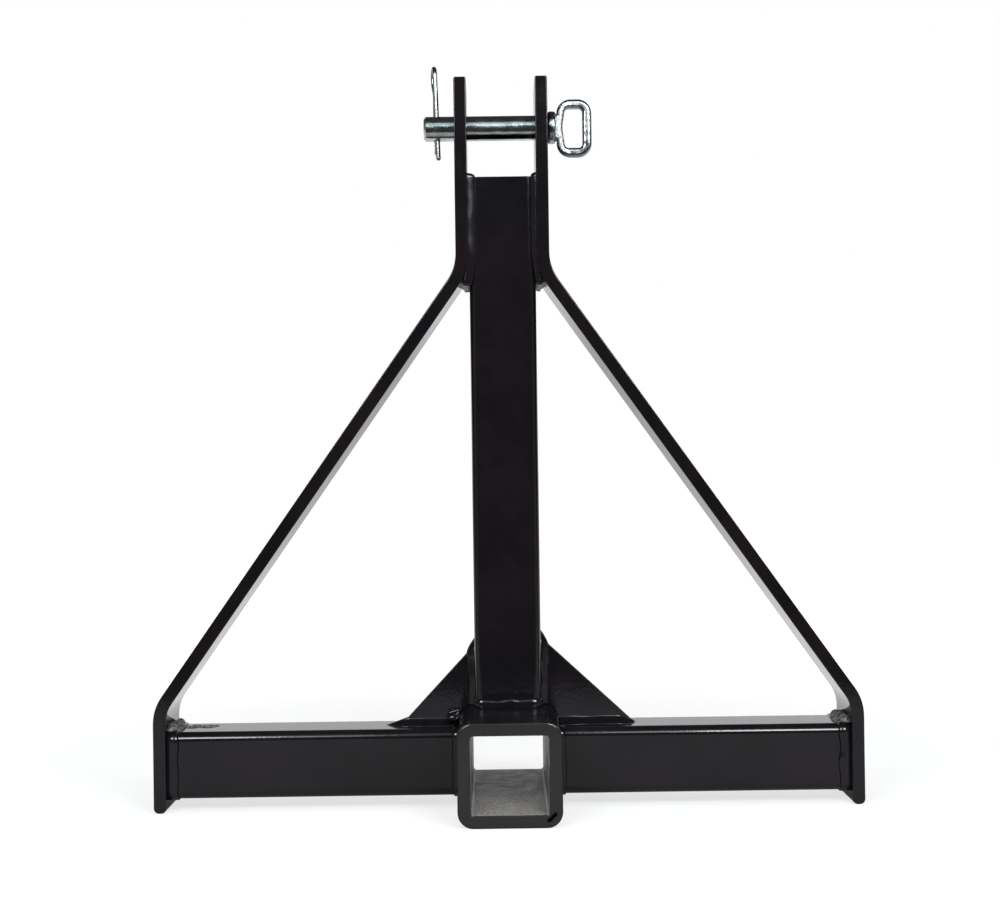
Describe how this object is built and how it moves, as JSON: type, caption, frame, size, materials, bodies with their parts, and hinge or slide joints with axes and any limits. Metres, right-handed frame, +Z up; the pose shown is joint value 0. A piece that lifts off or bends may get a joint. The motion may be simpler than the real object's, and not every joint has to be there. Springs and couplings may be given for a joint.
{
  "type": "three-point receiver hitch",
  "caption": "Welded A-frame hitch for a tractor's three-point linkage, with a square receiver tube below and a clevis with a ring-handled pin and hairpin clip on top.",
  "frame": {"origin": "on the ground, under the middle of the receiver tube's length and of the hitch's width", "axes": "+Z up the mast, -Y out of the receiver's mouth, +X along the crossbars towards the pin's ring"},
  "size_m": [0.5406, 0.1778, 0.5728],
  "materials": {
    "powder_coat": "black powder coat, semi-gloss",
    "coated_weld": "black powder coat over weld beads",
    "zinc_pin": "bright zinc plate on a forged pin",
    "zinc_wire": "zinc plate on spring wire"
  },
  "bodies": {
    "frame": {"receiver_tube": "powder_coat", "mast_tube": "powder_coat", "crossbar_right": "powder_coat", "crossbar_left": "powder_coat", "side_bar_right": "powder_coat", "side_bar_left": "powder_coat", "gusset_right": "powder_coat", "gusset_left": "powder_coat", "mast_base_weld": "coated_weld", "crossbar_end_weld_right": "coated_weld", "crossbar_end_weld_left": "coated_weld", "receiver_weld_right": "coated_weld", "receiver_weld_left": "coated_weld", "ear_weld_right": "coated_weld", "ear_weld_left": "coated_weld", "bend_weld_right": "coated_weld", "bend_weld_left": "coated_weld", "gusset_weld_right": "coated_weld", "gusset_weld_left": "coated_weld"},
    "pin": {"top_link_pin": "zinc_pin"},
    "clip": {"hairpin_clip": "zinc_wire"}
  },
  "joints": [
    {"name": "pin_pull", "type": "slide", "parent": "frame", "child": "pin", "axis": [1, 0, 0], "range_m": [0, 0.115]},
    {"name": "clip_pull", "type": "slide", "parent": "pin", "child": "clip", "axis": [-0.0297, 0, 0.9996], "range_m": [0, 0.05], "deforming": ["hairpin_clip"]}
  ]
}
